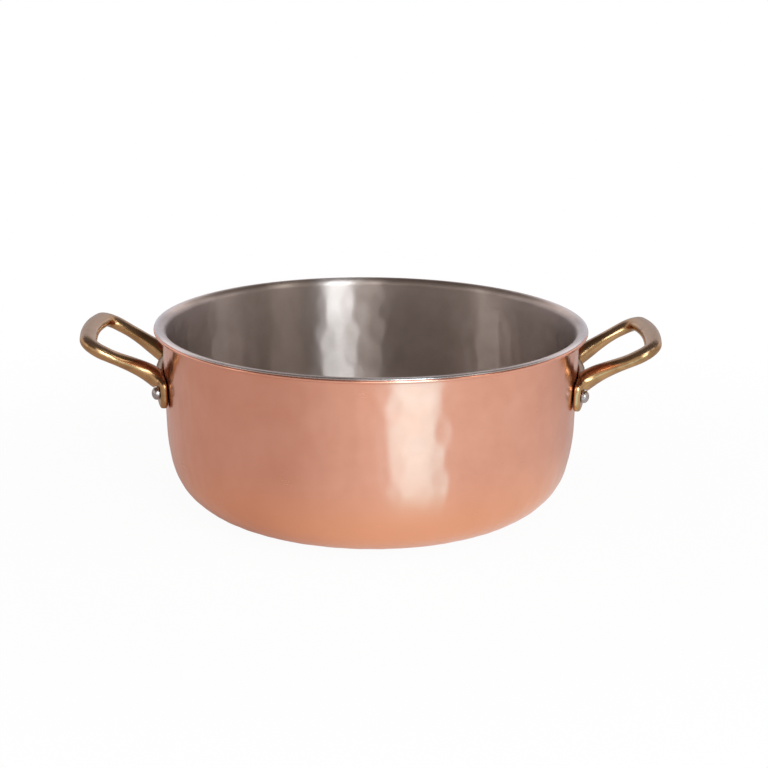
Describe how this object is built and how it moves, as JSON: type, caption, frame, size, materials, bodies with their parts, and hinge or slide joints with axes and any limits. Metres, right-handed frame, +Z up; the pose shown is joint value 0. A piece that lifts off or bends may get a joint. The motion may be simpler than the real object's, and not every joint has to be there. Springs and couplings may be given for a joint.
{
  "type": "copper casserole",
  "caption": "Round open casserole: bent copper pot with a curved foot and a turned-out rim, bright metal lining, cast brass loop handles riveted on opposite sides",
  "frame": {"origin": "middle of the flat bottom, on the surface that the pot stands on", "axes": "+Z up, the handles along X, +Y to the back of the picture's view"},
  "size_m": [0.3412, 0.256, 0.1083],
  "materials": {
    "copper": "hammered and polished copper",
    "lining": "satin grey lining, hammered through from outside",
    "handle_brass": "cast brass, polished",
    "rivet_metal": "plain steel rivet"
  },
  "bodies": {
    "root": {"copper_body": "copper", "lining": "lining", "handle_left": "handle_brass", "handle_right": "handle_brass", "rivet_left_front": "rivet_metal", "rivet_left_back": "rivet_metal", "rivet_right_front": "rivet_metal", "rivet_right_back": "rivet_metal"}
  },
  "joints": []
}
